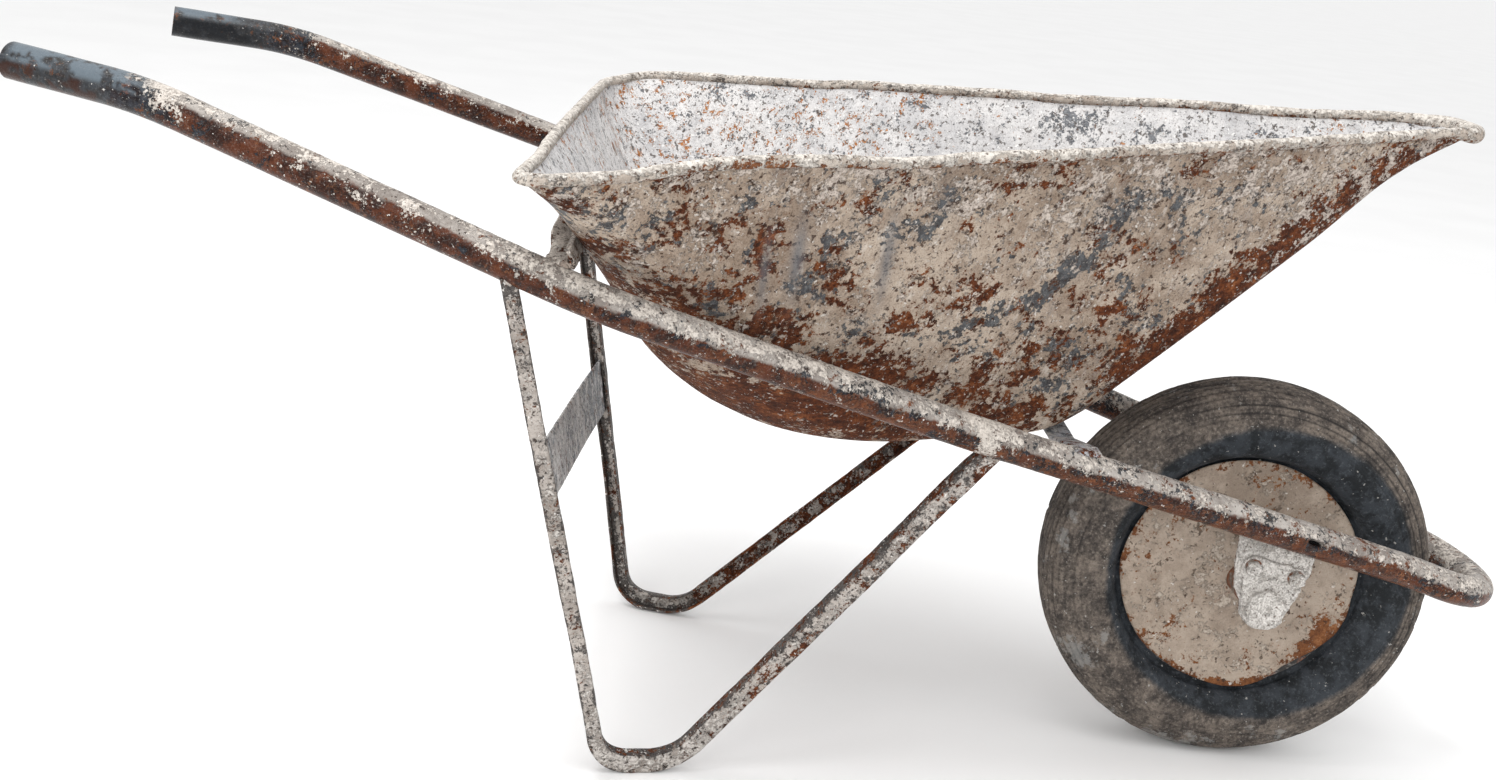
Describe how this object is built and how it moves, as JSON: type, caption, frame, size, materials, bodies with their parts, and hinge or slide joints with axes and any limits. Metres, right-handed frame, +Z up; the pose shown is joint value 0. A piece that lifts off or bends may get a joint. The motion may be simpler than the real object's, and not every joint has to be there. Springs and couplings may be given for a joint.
{
  "type": "steel builder's wheelbarrow",
  "caption": "Single-wheel steel barrow: deep tapering tray on one bent round-tube frame with bent channel legs and a rubber-tyred disc wheel that spins on its axle.",
  "frame": {"origin": "on the ground under the middle of the overall length, in the plane of symmetry", "axes": "+X forwards towards the wheel, +Y to the left of the person pushing, +Z up"},
  "size_m": [1.3703, 0.7314, 0.6485],
  "materials": {
    "frame_paint": "dark paint worn to rust, with cement splashes",
    "leg_steel": "grey paint under cement dust",
    "bracket_steel": "cement-crusted steel",
    "housing_steel": "cement-crusted steel",
    "tray_sheet": "grey sheet steel with rust and cement film",
    "tray_rim": "worn rolled edge, cement-stained",
    "wire_steel": "plain drawn wire",
    "fastener_steel": "dulled zinc plate",
    "axle_steel": "plain steel bar",
    "hub_steel": "rusty painted steel",
    "disc_paint": "tan painted steel with rust",
    "bush_bronze": "sintered bronze",
    "tyre_rubber": "black rubber, dusty tread",
    "tube_rubber": "butyl rubber",
    "valve_rubber": "rubber-covered stem",
    "valve_cap_plastic": "black plastic"
  },
  "bodies": {
    "frame": {"frame_tube": "frame_paint", "leg_left": "leg_steel", "leg_right": "leg_steel", "leg_brace": "leg_steel", "rear_cross_member": "bracket_steel", "front_bridge": "bracket_steel", "tray_shell": "tray_sheet", "rim_bead": "tray_rim", "rim_wire": "wire_steel", "tray_bolts": "fastener_steel", "tray_nuts": "fastener_steel", "tray_washers": "fastener_steel", "axle_bracket_left": "bracket_steel", "axle_bracket_right": "bracket_steel", "bearing_housing_left": "housing_steel", "bearing_housing_right": "housing_steel", "bearing_bush_left": "bush_bronze", "bearing_bush_right": "bush_bronze", "bracket_bolts": "fastener_steel", "bracket_nuts": "fastener_steel", "bracket_washers": "fastener_steel"},
    "wheel": {"axle": "axle_steel", "hub_tube": "hub_steel", "thrust_washers": "axle_steel", "wheel_rim": "hub_steel", "wheel_disc_left": "disc_paint", "wheel_disc_right": "disc_paint", "valve_stem": "valve_rubber", "valve_cap": "valve_cap_plastic", "tyre": "tyre_rubber", "inner_tube": "tube_rubber"}
  },
  "joints": [
    {"name": "wheel_spin", "type": "hinge", "parent": "frame", "child": "wheel", "pos_m": [0.43528, 0, 0.1895], "axis": [0, 1, 0], "continuous": true}
  ]
}
